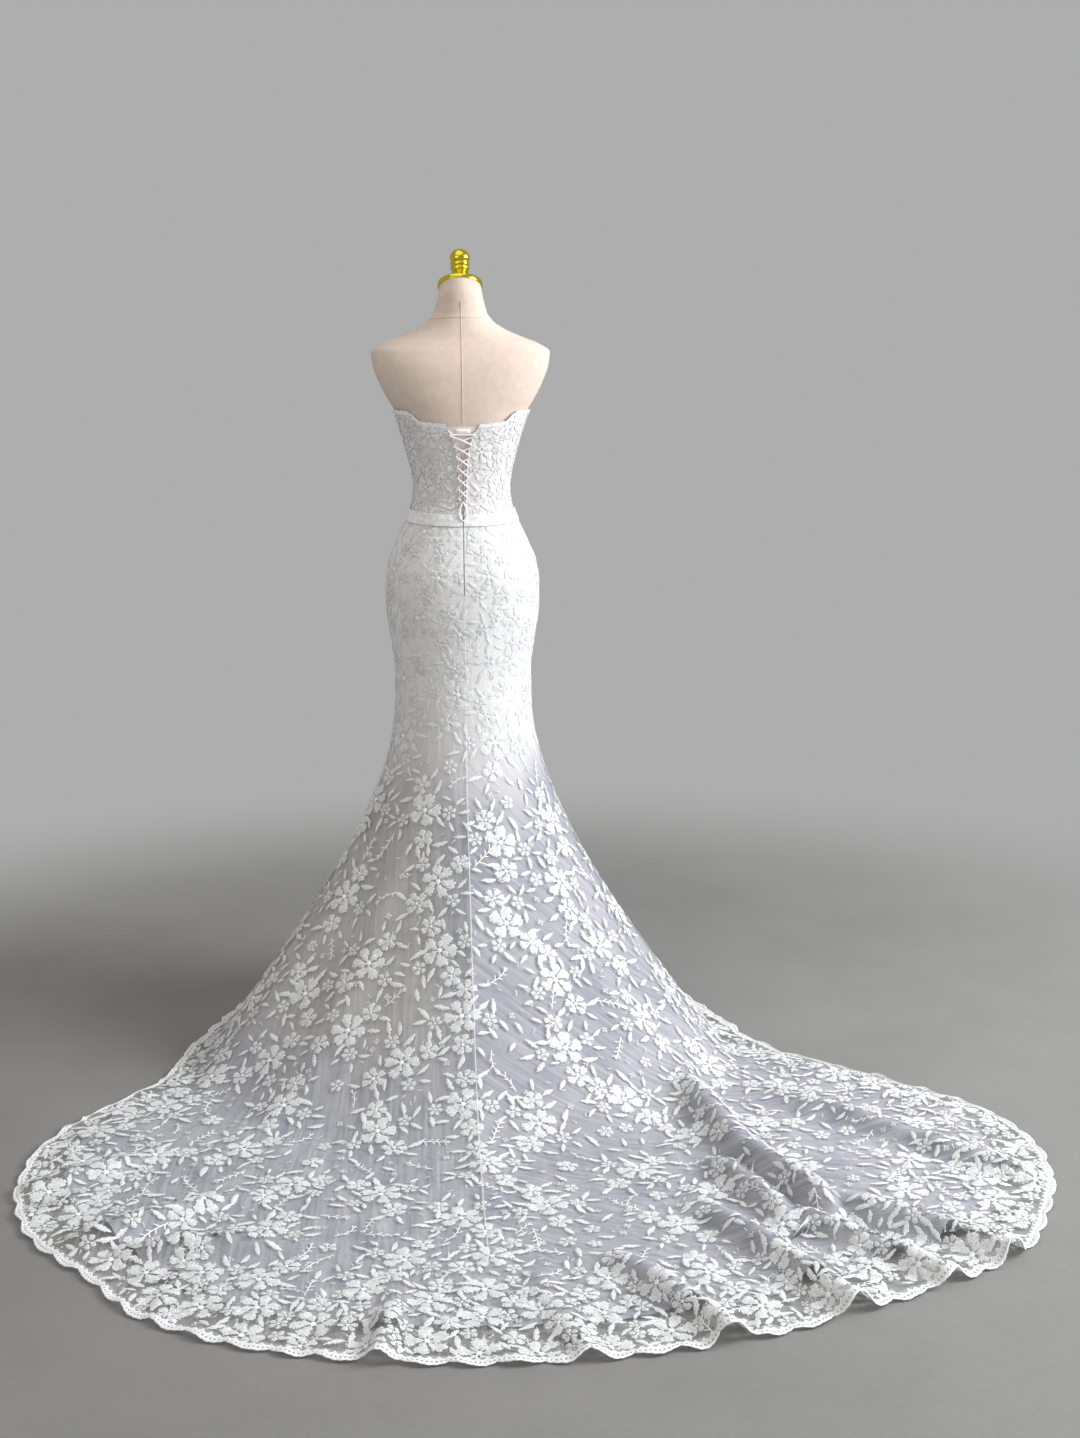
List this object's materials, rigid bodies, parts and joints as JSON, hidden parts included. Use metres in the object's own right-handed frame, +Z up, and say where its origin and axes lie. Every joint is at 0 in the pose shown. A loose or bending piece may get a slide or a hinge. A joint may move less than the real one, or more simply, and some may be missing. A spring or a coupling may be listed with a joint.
{
  "type": "mermaid gown on dress form",
  "caption": "Strapless floral lace mermaid gown with a laced-up back, waistband and long scalloped train, worn by a limbless linen dress form with a metal neck cap and a flat base",
  "frame": {"origin": "centre of the underside of the base plate, on the floor", "axes": "+Z up, the gown faces -Y and its train spreads to +Y, +X is the gown's left side"},
  "size_m": [1.8669, 1.8952, 1.6529],
  "materials": {
    "lace": "corded floral lace",
    "lining": "satin lining",
    "nude": "nude satin lining",
    "satin": "satin ribbon and cord",
    "linen": "plain linen cover",
    "gold": "polished",
    "steel": "satin paint"
  },
  "bodies": {
    "root": {"form_torso": "linen", "neck_cap": "gold", "finial": "gold", "base_plate": "steel", "form_pole": "steel", "skirt_front": "lace", "lining_front": "lining", "hem_border_front": "lace", "skirt_back_left": "lace", "lining_back_left": "lining", "hem_border_back_left": "lace", "skirt_back_right": "lace", "lining_back_right": "lining", "hem_border_back_right": "lace", "train_left": "lace", "train_right": "lace", "bodice_front": "lace", "neck_edging_front": "lace", "bodice_back_left": "lace", "neck_edging_back_left": "lace", "bodice_back_right": "lace", "neck_edging_back_right": "lace", "bodice_lining_front": "nude", "bodice_lining_back_left": "nude", "bodice_lining_back_right": "nude", "waistband": "satin", "modesty_panel": "nude", "loop_tape_left": "satin", "loop_tape_right": "satin", "lacing_cord": "satin", "lacing_drop_loop": "satin", "zip": "satin"}
  },
  "joints": []
}
